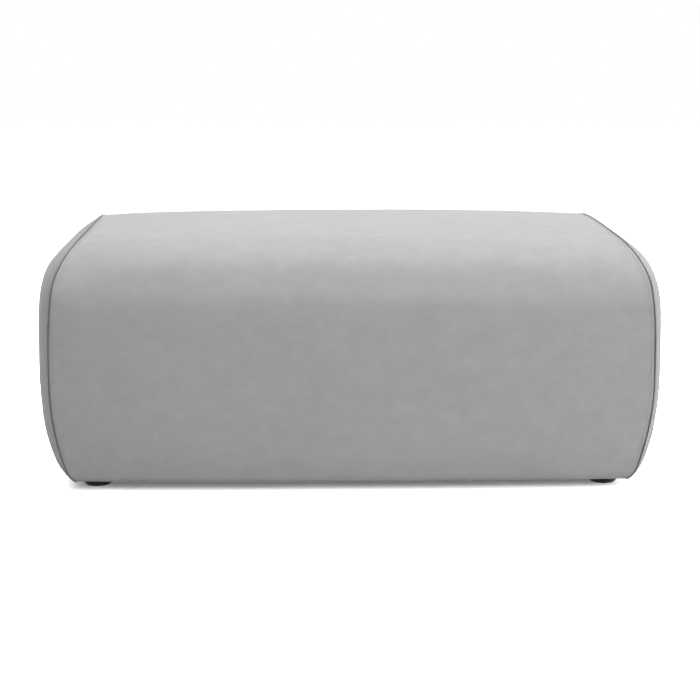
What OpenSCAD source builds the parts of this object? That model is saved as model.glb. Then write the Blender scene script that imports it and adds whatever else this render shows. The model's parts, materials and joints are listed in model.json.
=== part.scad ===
// Upholstered footstool: a crowned, tightly covered body on four low glides.
// Millimetres, +Z up. X runs along the length and the front faces -Y.
// The origin is on the floor, under the middle of the body.

/* [Body] */
// Length over the domes of both ends
body_l = 1100; // [900:10:1400]
// Depth over the swell of the front and the back
body_d = 660; // [520:2:800]
// Height of the middle of the seat above the floor
body_h = 445; // [400:1:500]
// Height of the cloth's underside above the floor
ground_gap = 15; // [12:0.5:40]
// How far each end dome stands out past its seam
end_crown = 34; // [10:0.5:60]
// How far the front and back swell out at their widest height
belly = 10; // [0:1:30]
// How far the wrap panel swells out between its two seams
face_crown = 11; // [0:1:30]
// How far the seam rises over the middle of the top
seat_crown = 31.5; // [0:0.5:45]
// How far the wrap panel rises between its two seams
top_crown = 8; // [0:0.5:25]
// Radius of the long front and back edges of the top
top_r = 90; // [60:1:120]
// Radius of the lower front and back edges
base_r = 15; // [15:1:36]
// How far the ends draw in at the base
base_draw = 33; // [10:1:50]
// How far the ends lean in towards the top
lean_in = 28; // [10:1:50]
// How far the seam bows in across the top
top_bow = 30; // [10:1:50]

/* [Swell] */
// Height at which the body is widest, as a share of the seam's height
waist = 0.46; // [0.35:0.01:0.6]
// Height of each dome's highest point, as a share of the seam's height
dome_rise = 0.66; // [0.5:0.01:0.75]
// How sharply the ends draw in at the base
base_pow = 2.1; // [1.5:0.1:4]
// How sharply the ends lean in towards the top
lean_pow = 3.7; // [2:0.1:5]
// How sharply the seam bows in where it crosses the top
bow_pow = 11.4; // [5:0.1:14]
// How square the wrap panel's swell is between the seams
crown_pow = 3; // [2:0.1:10]
// How late each dome falls away towards its rim
dome_pow = 4.9; // [2:0.05:7]
// How much later a dome falls away below its middle than above it
dome_fall = 0.42; // [0:0.01:0.6]
// How square a dome's contours are near its middle: 2 is an ellipse
dome_square = 3.3; // [2:0.1:4]
// How soon a dome's contours take the seam's outline on the way out
dome_blend = 1; // [1:0.1:4]

/* [Cover] */
// Thickness of the cover cloth
cover_t = 1.5; // [0.8:0.1:3]
// Width of the hem that is turned under the base
hem_w = 50; // [46:1:60]
// Diameter of the cord in the seams
cord_d = 3; // [2:0.2:6]
// Thickness of the dust cover
dust_t = 0.8; // [0.5:0.1:2]
// Distance from the body's lower edges to the dust cover's edge
dust_inset = 10; // [4:1:20]

/* [Padding] */
// Thickness of the batting under the cover
batting_t = 6; // [3:0.5:12]
// Foam between the batting and the frame at the front and back edges
side_foam_t = 32; // [15:1:60]
// Foam between the batting and the frame at the foot of each end
end_foam_t = 11; // [8:1:40]
// Thickness of the seat foam at the level of the seam
seat_foam_t = 100; // [90:1:140]
// Thickness of the felt under the seat foam
felt_t = 3; // [1:0.5:6]

/* [Frame] */
// Thickness of the rails and stretchers
rail_t = 28; // [22:1:34]
// Height of the top rails and the top stretchers
top_rail_h = 60; // [50:1:80]
// Height of the bottom rails and the base stretchers
bottom_rail_h = 70; // [66:1:90]
// Width of the square corner posts and centre posts
post_w = 38; // [32:1:50]
// Thickness of the side boards
board_t = 3; // [2:0.5:6]
// Depth of the dip in each top stretcher
stretcher_dip = 18; // [8:1:24]

/* [Webbing] */
// Width of a strap
strap_w = 50; // [30:1:60]
// Thickness of a strap
strap_t = 1.8; // [1:0.1:3]
// Lengthwise straps on each side of the middle one
long_side = 1; // [1:1:2]
// Crosswise straps on each side of the middle one
cross_side = 3; // [2:1:3]

/* [Feet] */
// Largest diameter of a glide
foot_d = 55; // [40:1:70]
// Diameter of a glide at the floor
foot_base_d = 45; // [30:1:56]
// Distance from a glide's centre to the end of the rail that carries it
foot_inset = 18; // [14:1:40]
// Depth of the recess for the screw's head in a glide's underside
foot_recess = 7; // [5:0.5:9]
// Radius of a glide's moulded edges
foot_edge_r = 1.5; // [0.5:0.1:2.5]

/* [Fasteners] */
// Diameter of a dowel
dowel_d = 8; // [6:1:10]
// Length of a dowel
dowel_l = 40; // [30:1:48]
// Distance from a rail's edges to the middle of its outer dowels
dowel_edge = 12; // [9:1:16]
// Distance between the two dowels in the end of a bottom rail
low_dowel_pitch = 20; // [14:1:26]
// Diameter of a frame screw
screw_d = 4; // [3:0.5:5]
// Length of a frame screw
screw_l = 60; // [50:1:64]
// Height of each frame screw above or below the middle of its rail
screw_step = 8; // [5:1:10]
// Diameter of a foot screw
foot_screw_d = 4.5; // [3.5:0.5:6]
// Length of a foot screw
foot_screw_l = 35; // [25:1:40]

/* [Fits] */
// Gap between soft layers, and between them and the frame
layer_gap = 0.3; // [0.1:0.05:0.5]
// Gap between the seam cord and the cloth on either side of it
cord_gap = 0.3; // [0.1:0.05:0.6]
// Radial clearance of a dowel or screw in its hole
hole_gap = 0.1; // [0.05:0.05:0.3]
// Distance between two hems, and from a hem to what it stops at
hem_gap = 2; // [1:0.5:5]

/* [Hidden] */
$fn = 48;

// The plain rounded outline that the swells are added to
half_l = body_l / 2;
half_d = body_d / 2 - belly - face_crown;
seam_half = half_l - end_crown;
seam_z = body_h - seat_crown - top_crown;
seam_h = seam_z - ground_gap;
dome_z = ground_gap + dome_rise * seam_h;

// Depths of the soft layers below the outer face of the cloth
batting_in = cover_t + layer_gap;
foam_in = batting_in + batting_t + layer_gap;

// The frame's box, inside the foam
frame_x = seam_half - base_draw - foam_in - end_foam_t;
frame_y = half_d - foam_in - side_foam_t;
frame_bottom = ground_gap + cover_t + layer_gap;
foam_split = seam_z - foam_in - seat_foam_t;
felt_z = foam_split - layer_gap - felt_t;
web_rise = strap_t + layer_gap;
frame_top = felt_z - layer_gap - web_rise - strap_t;
frame_h = frame_top - frame_bottom;

// Faces of the rails
rail_x = frame_x - board_t;
rail_y = frame_y - board_t;
inner_x = rail_x - rail_t;
inner_y = rail_y - rail_t;
top_rail_z = frame_top - top_rail_h;
bottom_rail_top = frame_bottom + bottom_rail_h;

// The straps share out the space between the rails. The stretchers stand midway between two of them.
long_pitch = inner_y / (long_side + 1);
cross_pitch = inner_x / (cross_side + 1);
stretcher_x = 1.5 * cross_pitch;

// Heights of the fasteners
top_dowels = [frame_top - dowel_edge, top_rail_z + dowel_edge];
low_dowels = [bottom_rail_top - dowel_edge, bottom_rail_top - dowel_edge - low_dowel_pitch];
rail_middles = [frame_bottom + bottom_rail_h / 2, frame_top - top_rail_h / 2];

// The glides stand under the front and back rails
foot_x = rail_x - foot_inset;
foot_y = rail_y - rail_t / 2;
foot_h = ground_gap - dust_t;
// Share of a glide's height that its upright band takes
band_share = 0.4;
// A foot screw's head, and the room round it in its recess
foot_head_h = 2.6;
foot_head_d = 2 * foot_screw_d;
head_room = 1;
// Width of the blunt tip of a screw
screw_point = 0.4;
// How far a cut runs past the face it opens in
cut_past = 1;

// Steps round a face: lower arc, side, upper arc, half of the top, underside
FINE = [3, 5, 7, 3, 4];
COARSE = [2, 3, 4, 2, 2];
// Places across the wrap panel, closer together near the seams
FINE_ACROSS = [for (i = [-6:6]) sin(15 * i)];
COARSE_ACROSS = [for (i = [-4:4]) sin(22.5 * i)];
// Rings of a dome, from its rim inwards
FINE_RINGS = [1, 0.95, 0.88, 0.78, 0.63, 0.38];
COARSE_RINGS = [1, 0.91, 0.76, 0.48];
CORD_SIDES = 6;

// A station is [y, z, inward normal y, inward normal z] on the plain outline
function arc_run(y, z, r, from, to, steps) = [
    for (i = [0:steps - 1])
        let (a = from + (to - from) * i / steps)
        [y + r * cos(a), z + r * sin(a), -cos(a), -sin(a)]
];
function line_run(from, to, normal, steps) = [
    for (i = [0:steps - 1])
        let (p = from + (to - from) * i / steps)
        [p[0], p[1], normal[0], normal[1]]
];
function mirrored(run) = [for (i = [len(run) - 1:-1:0]) let (p = run[i]) [-p[0], p[1], -p[2], p[3]]];

// From the foot of the front, up and over to just short of the middle of the top
function front_run(steps) = concat(
    arc_run(base_r - half_d, ground_gap + base_r, base_r, 270, 180, steps[0]),
    line_run([-half_d, ground_gap + base_r], [-half_d, seam_z - top_r], [1, 0], steps[1]),
    arc_run(top_r - half_d, seam_z - top_r, top_r, 180, 90, steps[2]),
    line_run([top_r - half_d, seam_z], [0, seam_z], [0, -1], steps[3])
);
// Front foot to back foot
function face_run(steps) = concat(front_run(steps), [[0, seam_z, 0, -1]], mirrored(front_run(steps)));
// The same with a flap turned under at each end
function hemmed_run(steps, flap) =
    let (edge = [[base_r - half_d + flap, ground_gap, 0, 1]])
    concat(edge, face_run(steps), mirrored(edge));
// The same closed along the underside
function loop_run(steps) = concat(face_run(steps), [
    for (i = [1:steps[4] - 1])
        [(half_d - base_r) * (1 - 2 * i / steps[4]), ground_gap, 0, 1]
]);

// Swells, which depend only on where a station is on the outline
function height_share(p) = max(0, min(1, (p[1] - ground_gap) / seam_h));
function upper_share(p) = max(0, 2 * height_share(p) - 1);
function over_top(p) = max(0, 1 - pow(p[0] / half_d, 2));
function seam_x(p) =
    let (h = height_share(p))
    seam_half
        - base_draw * pow(max(0, 1 - h / waist), base_pow)
        - lean_in * pow(max(0, (h - waist) / (1 - waist)), lean_pow)
        - top_bow * over_top(p) * pow(h, bow_pow);
function side_swell(p) = belly * (1 - pow((height_share(p) - waist) / (1 - waist), 2));

// A point of the seam, at a depth below the outer face
function seam_point(p, depth) = [
    seam_x(p) - depth,
    p[0] + depth * p[2] + side_swell(p) * p[0] / half_d,
    p[1] + depth * p[3] + seat_crown * over_top(p) * upper_share(p)
];
// A point of the wrap panel: across runs from -1 at the left seam to 1 at the right one
function wrap_point(p, across, depth, edge_gap) =
    let (s = seam_point(p, depth), swell = 1 - pow(abs(across), crown_pow))
    [
        across * (s[0] - edge_gap),
        s[1] + face_crown * swell * p[0] / half_d,
        s[2] + top_crown * swell * upper_share(p)
    ];
// How a dome narrows from the seam towards its middle, along the ray of one station
function dome_ray(p) =
    let (
        s = seam_point(p, 0),
        reach = norm([s[1], s[2] - dome_z]),
        c = abs(s[1]) / reach / (half_d + belly),
        v = (s[2] - dome_z) / reach,
        w = abs(v) / (seam_z + seat_crown - dome_z)
    )
    [
        min(1, pow(pow(c, dome_square) + pow(w, dome_square), -1 / dome_square) / reach),
        dome_pow * exp(-dome_fall * v),
        reach
    ];
// A point of the right dome: share runs from 0 at its middle to 1 at the seam
function dome_point(p, share, depth) =
    let (
        s = seam_point(p, depth),
        ray = dome_ray(p),
        blend = pow(share, dome_blend),
        scale_in = share * (blend + (1 - blend) * ray[0])
    )
    [
        half_l - depth - (half_l - seam_x(p)) * pow(share, ray[1]),
        s[1] * scale_in,
        dome_z + (s[2] - dome_z) * scale_in
    ];
// The share at which a dome stops a given distance short of the seam
function rim_share(p, gap) =
    let (ray = dome_ray(p))
    1 - gap / norm([ray[1] * (half_l - seam_x(p)), ray[2] * (1 + dome_blend * (1 - ray[0]))]);

// Triangles between two rows of n points that start at a and b
function strip(a, b, n, closed) = [
    for (i = [0:n - (closed ? 1 : 2)])
        let (j = (i + 1) % n)
        each [[a + i, a + j, b + j], [a + i, b + j, b + i]]
];
function strips(rows, n, start, closed) = [
    for (r = [0:rows - 2]) each strip(start + r * n, start + (r + 1) * n, n, closed)
];
function turned(faces) = [for (f = faces) [f[2], f[1], f[0]]];

// A sheet between two depths, from an open grid of stations and places across
module wrap_shell(run, places, depth, t, edge_gap) {
    rows = len(run);
    n = len(places);
    inner = rows * n;
    points = [for (d = [depth, depth + t]) for (p = run) for (u = places) wrap_point(p, u, d, edge_gap)];
    edge = concat(
        [for (i = [0:n - 2]) i],
        [for (r = [0:rows - 2]) r * n + n - 1],
        [for (i = [n - 1:-1:1]) (rows - 1) * n + i],
        [for (r = [rows - 1:-1:1]) r * n]
    );
    rim = [
        for (k = [0:len(edge) - 1])
            let (a = edge[k], b = edge[(k + 1) % len(edge)])
            each [[a, a + inner, b + inner], [a, b + inner, b]]
    ];
    faces = concat(strips(rows, n, 0, false), turned(strips(rows, n, inner, false)), rim);
    polyhedron(points, faces, convexity = 6);
}

// A domed sheet between two depths. Its rim stops short of the seam, but meets the fold along the base.
module dome_shell(steps, rings, depth, t, rim_gap) {
    run = loop_run(steps);
    n = len(run);
    seam_n = len(face_run(steps));
    rim = [for (i = [0:n - 1]) i < seam_n ? rim_share(run[i], rim_gap) : 1];
    inner = len(rings) * n + 1;
    points = [
        for (d = [depth, depth + t])
            each concat(
                [for (r = rings) for (i = [0:n - 1]) dome_point(run[i], r * rim[i], d)],
                [[half_l - d, 0, dome_z]]
            )
    ];
    last = (len(rings) - 1) * n;
    cap = [for (i = [0:n - 1]) [last + i, last + (i + 1) % n, last + n]];
    face = concat(strips(len(rings), n, 0, true), cap);
    edge = [
        for (i = [0:n - 1])
            let (j = (i + 1) % n)
            each [[j, i, i + inner], [j, i + inner, j + inner]]
    ];
    polyhedron(points, concat(face, turned([for (f = face) f + inner * [1, 1, 1]]), edge), convexity = 6);
}

// The closed form inside the batting, from which the foam pieces are cut
module foam_body() {
    run = loop_run(COARSE);
    n = len(run);
    steps = len(COARSE_RINGS) - 1;
    right = [for (k = [1:steps]) [for (p = run) dome_point(p, COARSE_RINGS[k], foam_in)]];
    left = [for (k = [steps - 1:-1:0]) [for (p = right[k]) [-p[0], p[1], p[2]]]];
    middle = [for (u = COARSE_ACROSS) [for (p = run) wrap_point(p, u, foam_in, 0)]];
    rows = concat(left, middle, right);
    tip_x = half_l - foam_in;
    points = concat([for (row = rows) each row], [[-tip_x, 0, dome_z], [tip_x, 0, dome_z]]);
    last = (len(rows) - 1) * n;
    tips = len(rows) * n;
    caps = [
        for (i = [0:n - 1])
            let (j = (i + 1) % n)
            each [[tips, j, i], [tips + 1, last + i, last + j]]
    ];
    polyhedron(points, concat(strips(len(rows), n, 0, true), caps), convexity = 6);
}

// A round cord along a list of points, with a flat end at each end
module cord(path, r) {
    n = len(path);
    points = [
        for (i = [0:n - 1])
            let (
                way = path[min(i + 1, n - 1)] - path[max(i - 1, 0)],
                along = way / norm(way),
                side = [1, 0, 0] - along[0] * along,
                out = side / norm(side),
                up = cross(along, out)
            )
            for (k = [0:CORD_SIDES - 1])
                let (a = 360 * k / CORD_SIDES)
                path[i] + r * (cos(a) * out + sin(a) * up)
    ];
    start = [for (k = [CORD_SIDES - 1:-1:0]) k];
    finish = [for (k = [0:CORD_SIDES - 1]) (n - 1) * CORD_SIDES + k];
    polyhedron(points, concat(strips(n, CORD_SIDES, 0, true), [start, finish]), convexity = 6);
}

// One of four corners: side is -1 for left, end is -1 for front
module corner(side, end) {
    translate([side * foot_x, end * foot_y, 0]) children();
}
// Holes for the foot screws, cut past both of the heights given
module foot_screw_holes(z_from, z_to) {
    for (side = [-1, 1], end = [-1, 1])
        corner(side, end) translate([0, 0, z_from - cut_past])
            cylinder(d = foot_screw_d + 2 * hole_gap, h = z_to - z_from + 2 * cut_past);
}

module box(from, to) {
    translate(from) cube(to - from);
}
// A box from x = -x to x, and the like in y
module block(x, y, z_from, z_to) {
    box([-x, -y, z_from], [x, y, z_to]);
}

// Soft covers
module end_cover() {
    hem_y = half_d - base_r - hem_w - hem_gap;
    fold_x = seam_half - base_draw;
    union() {
        dome_shell(FINE, FINE_RINGS, 0, cover_t, cord_d / 2 + cord_gap);
        box([fold_x - hem_w, -hem_y, ground_gap], [fold_x - cover_t / 2, hem_y, ground_gap + cover_t]);
    }
}
module wrap_cover() color("#a3a3a3") {
    difference() {
        wrap_shell(hemmed_run(FINE, hem_w), FINE_ACROSS, 0, cover_t, cord_d / 2 + cord_gap);
        foot_screw_holes(ground_gap, ground_gap + cover_t);
    }
}
module left_end_cover() color("#9b9b9b") mirror([1, 0, 0]) end_cover();
module right_end_cover() color("#b0b0b0") end_cover();
module seam_cord() {
    cord([for (p = face_run(FINE)) seam_point(p, 0)], cord_d / 2);
}
module left_seam_cord() color("#6e6e6e") mirror([1, 0, 0]) seam_cord();
module right_seam_cord() color("#6e6e6e") seam_cord();
module dust_cover() color("#262626") {
    difference() {
        block(seam_half - base_draw - dust_inset, half_d - base_r - dust_inset, foot_h, ground_gap);
        foot_screw_holes(foot_h, ground_gap);
    }
}

// Padding
module end_batting() {
    tuck_y = half_d - base_r - hem_gap;
    fold_x = seam_half - base_draw - batting_in;
    z = ground_gap + batting_in;
    union() {
        dome_shell(COARSE, COARSE_RINGS, batting_in, batting_t, layer_gap);
        box([frame_x + layer_gap, -tuck_y, z], [fold_x - batting_t / 2, tuck_y, z + batting_t]);
    }
}
module wrap_batting() color("#e8e6e0") {
    wrap_shell(face_run(COARSE), COARSE_ACROSS, batting_in, batting_t, layer_gap);
}
module left_end_batting() color("#e8e6e0") mirror([1, 0, 0]) end_batting();
module right_end_batting() color("#e8e6e0") end_batting();

module seat_foam() color("#efe2a8") {
    intersection() {
        foam_body();
        block(half_l, body_d, foam_split, body_h);
    }
}
module long_foam() {
    intersection() {
        foam_body();
        box([-frame_x, -body_d, 0], [frame_x, -frame_y - layer_gap, foam_split - layer_gap]);
    }
}
module front_foam() color("#e9d68f") long_foam();
module back_foam() color("#e9d68f") mirror([0, 1, 0]) long_foam();
module end_foam() {
    intersection() {
        foam_body();
        box([frame_x + layer_gap, -body_d, 0], [half_l, body_d, foam_split - layer_gap]);
    }
}
module left_end_foam() color("#e9d68f") mirror([1, 0, 0]) end_foam();
module right_end_foam() color("#e9d68f") end_foam();
module webbing_felt() color("#8d8a80") block(frame_x, frame_y, felt_z, felt_z + felt_t);

// Webbing: a strap is a strip that steps over every second strap of the other set
function strap_path(reach, pitch, side, turn) = concat(
    [[-reach, 0]],
    [
        for (i = [-side:side])
            let (z = abs(i + turn) % 2 * web_rise, clear = strap_w / 2 + hem_gap)
            each [[i * pitch - clear, z], [i * pitch + clear, z]]
    ],
    [[reach, 0]]
);
module strap(reach, pitch, side, turn) {
    path = strap_path(reach, pitch, side, turn);
    back = [for (i = [1:len(path)]) path[len(path) - i] + [0, strap_t]];
    translate([0, strap_w / 2, frame_top])
        rotate([90, 0, 0]) linear_extrude(strap_w) polygon(concat(path, back));
}
module lengthwise_webbing() color("#c9a35f") {
    for (k = [-long_side:long_side])
        translate([0, k * long_pitch, 0]) strap(rail_x - hem_gap, cross_pitch, cross_side, k);
}
module crosswise_webbing() color("#b98f4c") {
    for (k = [-cross_side:cross_side])
        translate([k * cross_pitch, 0, 0]) rotate(90) strap(rail_y - hem_gap, long_pitch, long_side, k + 1);
}

// Frame: every hole is cut by the same modules that place the fasteners
module dowel_at(gap) {
    length = dowel_l + 2 * gap;
    rotate([90, 0, 0]) cylinder(d = dowel_d + 2 * gap, h = length, center = true);
}
// The dowels of one end of a crosswise rail or stretcher, centred on its joint
module joint_dowels(x, heights, gap) {
    for (z = heights) translate([x, -inner_y, z]) dowel_at(gap);
}
module all_dowels(gap) {
    for (x = [-rail_x + rail_t / 2, -stretcher_x, stretcher_x, rail_x - rail_t / 2], turn = [0, 1])
        mirror([0, turn, 0]) {
            joint_dowels(x, top_dowels, gap);
            joint_dowels(x, low_dowels, gap);
        }
}

// A countersunk screw that points along +Z, its head's face at 0. A gap makes it the hole for one.
module frame_screw(gap) {
    wide = screw_d + 2 * gap;
    tip = screw_d;
    translate([0, 0, -gap]) cylinder(d1 = wide + screw_d, d2 = wide, h = screw_d / 2 + gap);
    cylinder(d = wide, h = screw_l - tip + gap);
    translate([0, 0, screw_l - tip + gap]) cylinder(d1 = wide, d2 = screw_point, h = tip);
}
// The screws of the front left corner post
module corner_screws(gap) {
    near = post_w / 2;
    for (z = rail_middles) {
        translate([near - inner_x, post_w - inner_y, z + screw_step]) rotate([90, 0, 0]) frame_screw(gap);
        translate([post_w - inner_x, near - inner_y, z - screw_step]) rotate([0, -90, 0]) frame_screw(gap);
    }
}
module all_screws(gap) {
    for (side = [0, 1], end = [0, 1])
        mirror([side, 0, 0]) mirror([0, end, 0]) corner_screws(gap);
    for (end = [0, 1], z = rail_middles)
        mirror([0, end, 0]) translate([0, post_w - inner_y, z]) rotate([90, 0, 0]) frame_screw(gap);
}

module long_rail(z, h) {
    difference() {
        box([-rail_x, -rail_y, z], [rail_x, -inner_y, z + h]);
        all_dowels(hole_gap);
        all_screws(hole_gap);
        foot_screw_holes(frame_bottom, foot_recess + foot_screw_l);
    }
}
module front_top_rail() color("#d8b98a") long_rail(top_rail_z, top_rail_h);
module back_top_rail() color("#d8b98a") mirror([0, 1, 0]) long_rail(top_rail_z, top_rail_h);
module front_bottom_rail() color("#cfae7d") long_rail(frame_bottom, bottom_rail_h);
module back_bottom_rail() color("#cfae7d") mirror([0, 1, 0]) long_rail(frame_bottom, bottom_rail_h);

module end_rail(z, h) {
    difference() {
        box([inner_x, -inner_y, z], [rail_x, inner_y, z + h]);
        all_dowels(hole_gap);
        all_screws(hole_gap);
    }
}
module left_top_rail() color("#dcc091") mirror([1, 0, 0]) end_rail(top_rail_z, top_rail_h);
module right_top_rail() color("#dcc091") end_rail(top_rail_z, top_rail_h);
module left_bottom_rail() color("#d2b384") mirror([1, 0, 0]) end_rail(frame_bottom, bottom_rail_h);
module right_bottom_rail() color("#d2b384") end_rail(frame_bottom, bottom_rail_h);

module post(x) {
    difference() {
        box([x - post_w / 2, -inner_y, frame_bottom], [x + post_w / 2, post_w - inner_y, frame_top]);
        all_screws(hole_gap);
    }
}
module front_left_post() color("#c9a573") post(post_w / 2 - inner_x);
module front_right_post() color("#c9a573") post(inner_x - post_w / 2);
module back_left_post() color("#c9a573") mirror([0, 1, 0]) post(post_w / 2 - inner_x);
module back_right_post() color("#c9a573") mirror([0, 1, 0]) post(inner_x - post_w / 2);
module front_centre_post() color("#c9a573") post(0);
module back_centre_post() color("#c9a573") mirror([0, 1, 0]) post(0);

// A stretcher dips in the middle so that the webbing can give
module top_stretcher(x) {
    dip_r = (pow(inner_y, 2) + pow(stretcher_dip, 2)) / (2 * stretcher_dip);
    difference() {
        box([x - rail_t / 2, -inner_y, top_rail_z], [x + rail_t / 2, inner_y, frame_top]);
        translate([x - rail_t, 0, frame_top - stretcher_dip + dip_r])
            rotate([0, 90, 0]) cylinder(r = dip_r, h = 2 * rail_t, $fn = 180);
        all_dowels(hole_gap);
    }
}
module left_top_stretcher() color("#d2b384") top_stretcher(-stretcher_x);
module right_top_stretcher() color("#d2b384") top_stretcher(stretcher_x);
module base_stretcher(x) {
    difference() {
        box([x - rail_t / 2, -inner_y, frame_bottom], [x + rail_t / 2, inner_y, bottom_rail_top]);
        all_dowels(hole_gap);
    }
}
module left_base_stretcher() color("#d2b384") base_stretcher(-stretcher_x);
module right_base_stretcher() color("#d2b384") base_stretcher(stretcher_x);

module long_board() {
    box([-frame_x, -frame_y, frame_bottom], [frame_x, -rail_y, frame_top]);
}
module front_board() color("#8a6a45") long_board();
module back_board() color("#8a6a45") mirror([0, 1, 0]) long_board();
module end_board() {
    box([rail_x, -rail_y, frame_bottom], [frame_x, rail_y, frame_top]);
}
module left_board() color("#8a6a45") mirror([1, 0, 0]) end_board();
module right_board() color("#8a6a45") end_board();
module frame_dowels() color("#e3cfa4") all_dowels(0);
module frame_screws() color("#b9b9b4") all_screws(0);

// Feet: a low round glide with an upright band, a taper to the floor and a recess for its screw
module glide() {
    r = foot_d / 2;
    base = foot_base_d / 2;
    band_z = foot_h * (1 - band_share);
    e = foot_edge_r;
    difference() {
        rotate_extrude($fn = 72) polygon([
            [0, 0], [base - e, 0], [base, e], [r, band_z], [r, foot_h - e], [r - e, foot_h], [0, foot_h]
        ]);
        translate([0, 0, -cut_past]) cylinder(d = foot_head_d + 2 * head_room, h = foot_recess + cut_past);
        cylinder(d = foot_screw_d + 2 * hole_gap, h = foot_h + cut_past);
    }
}
module front_left_foot() color("#1d1d1d") corner(-1, -1) glide();
module front_right_foot() color("#1d1d1d") corner(1, -1) glide();
module back_left_foot() color("#1d1d1d") corner(-1, 1) glide();
module back_right_foot() color("#1d1d1d") corner(1, 1) glide();

// A pan-head screw through the glide, the dust cover and the hem into the rail
module foot_screw() {
    tip = foot_screw_d;
    translate([0, 0, foot_recess - foot_head_h]) cylinder(d = foot_head_d, h = foot_head_h);
    translate([0, 0, foot_recess]) cylinder(d = foot_screw_d, h = foot_screw_l - tip);
    translate([0, 0, foot_recess + foot_screw_l - tip])
        cylinder(d1 = foot_screw_d, d2 = screw_point, h = tip);
}
module foot_screws() color("#b9b9b4") {
    for (side = [-1, 1], end = [-1, 1])
        corner(side, end) foot_screw();
}

wrap_cover();
left_end_cover();
right_end_cover();
left_seam_cord();
right_seam_cord();
dust_cover();
wrap_batting();
left_end_batting();
right_end_batting();
seat_foam();
front_foam();
back_foam();
left_end_foam();
right_end_foam();
webbing_felt();
lengthwise_webbing();
crosswise_webbing();
front_top_rail();
back_top_rail();
left_top_rail();
right_top_rail();
front_bottom_rail();
back_bottom_rail();
left_bottom_rail();
right_bottom_rail();
front_left_post();
front_right_post();
back_left_post();
back_right_post();
front_centre_post();
back_centre_post();
left_top_stretcher();
right_top_stretcher();
left_base_stretcher();
right_base_stretcher();
front_board();
back_board();
left_board();
right_board();
frame_dowels();
frame_screws();
front_left_foot();
front_right_foot();
back_left_foot();
back_right_foot();
foot_screws();
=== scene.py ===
import json
import math

import bpy
import numpy as np
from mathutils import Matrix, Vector


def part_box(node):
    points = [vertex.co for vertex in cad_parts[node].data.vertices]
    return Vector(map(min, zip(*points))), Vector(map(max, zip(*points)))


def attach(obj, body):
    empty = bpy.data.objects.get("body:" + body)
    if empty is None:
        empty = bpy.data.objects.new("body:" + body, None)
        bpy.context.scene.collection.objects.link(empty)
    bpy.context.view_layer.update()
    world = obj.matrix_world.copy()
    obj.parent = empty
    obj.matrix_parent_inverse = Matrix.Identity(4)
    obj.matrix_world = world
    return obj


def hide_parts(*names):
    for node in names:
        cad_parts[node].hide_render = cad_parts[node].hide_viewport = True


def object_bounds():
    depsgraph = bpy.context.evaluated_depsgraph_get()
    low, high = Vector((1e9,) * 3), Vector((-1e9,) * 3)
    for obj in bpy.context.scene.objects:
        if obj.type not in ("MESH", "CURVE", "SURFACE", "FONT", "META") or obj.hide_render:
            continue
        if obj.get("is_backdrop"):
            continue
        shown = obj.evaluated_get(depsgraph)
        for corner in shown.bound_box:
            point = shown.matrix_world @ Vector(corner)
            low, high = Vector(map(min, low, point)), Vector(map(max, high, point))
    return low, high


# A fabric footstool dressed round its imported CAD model. Lengths are in metres, in the frame of the part.
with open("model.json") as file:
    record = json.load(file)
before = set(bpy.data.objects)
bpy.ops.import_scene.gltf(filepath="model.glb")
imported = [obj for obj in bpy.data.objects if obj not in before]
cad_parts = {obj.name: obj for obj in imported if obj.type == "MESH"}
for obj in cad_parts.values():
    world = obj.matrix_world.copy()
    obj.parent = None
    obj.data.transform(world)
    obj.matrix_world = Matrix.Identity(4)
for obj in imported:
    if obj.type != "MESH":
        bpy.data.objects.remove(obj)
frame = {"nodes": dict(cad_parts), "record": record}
cad_low, cad_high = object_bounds()
scene = bpy.context.scene

# The body's shape: the same values as in the part's source, the first three read from the frame
HALF_L = cad_high.x
BODY_H = cad_high.z
GROUND_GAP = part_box("wrap_cover")[0].z
BODY_D = 0.660
END_CROWN = 0.034
BELLY = 0.010
FACE_CROWN = 0.011
SEAT_CROWN = 0.0315
TOP_CROWN = 0.008
TOP_R = 0.090
BASE_R = 0.015
BASE_DRAW = 0.033
LEAN_IN = 0.028
TOP_BOW = 0.030
WAIST = 0.46
DOME_RISE = 0.66
BASE_POW = 2.1
LEAN_POW = 3.7
BOW_POW = 11.4
CROWN_POW = 3.0
DOME_POW = 4.9
DOME_FALL = 0.42
DOME_SQUARE = 3.3
DOME_BLEND = 1.0

# The padding fills the cover out further than the plain solids, first at the top's front and back turn
TURN_FILL = 0.0018
TURN_AT = 0.365
TURN_W = 0.034
TURN_FADE = 0.12

# The shoulders of the seams are fuller too
SHOULDER_FILL = 0.0025
SHOULDER_AT = 0.89
SHOULDER_W = 0.07

# The front and back stand out from their seams, between their foot and the top's turn
FACE_FILL = 0.004
FACE_FILL_W = 0.035
FACE_FOOT = 0.06
FACE_FADE = (0.25, 0.45)

# The seams' feet are drawn in, so the lower corners are round, and the domes stay full above their base
CORNER_DRAW = 0.0075
CORNER_H = 0.055
BASE_FULL = 0.0075
BASE_FULL_H = 0.034
BASE_FULL_POW = 30

# The soft layers, from the outer face inwards
COVER_T = 0.0015
LAYER_GAP = 0.0003
BATTING_T = 0.006
WADDING_T = BATTING_T - 0.0002
STRAP_W = 0.050
STRAP_T = 0.0018
HEM_W = 0.050
HEM_GAP = 0.002
CORD_D = 0.003

HALF_D = BODY_D / 2 - BELLY - FACE_CROWN
SEAM_HALF = HALF_L - END_CROWN
SEAM_Z = BODY_H - SEAT_CROWN - TOP_CROWN
SEAM_H = SEAM_Z - GROUND_GAP
DOME_Z = GROUND_GAP + DOME_RISE * SEAM_H
BATTING_IN = COVER_T + LAYER_GAP

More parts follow.
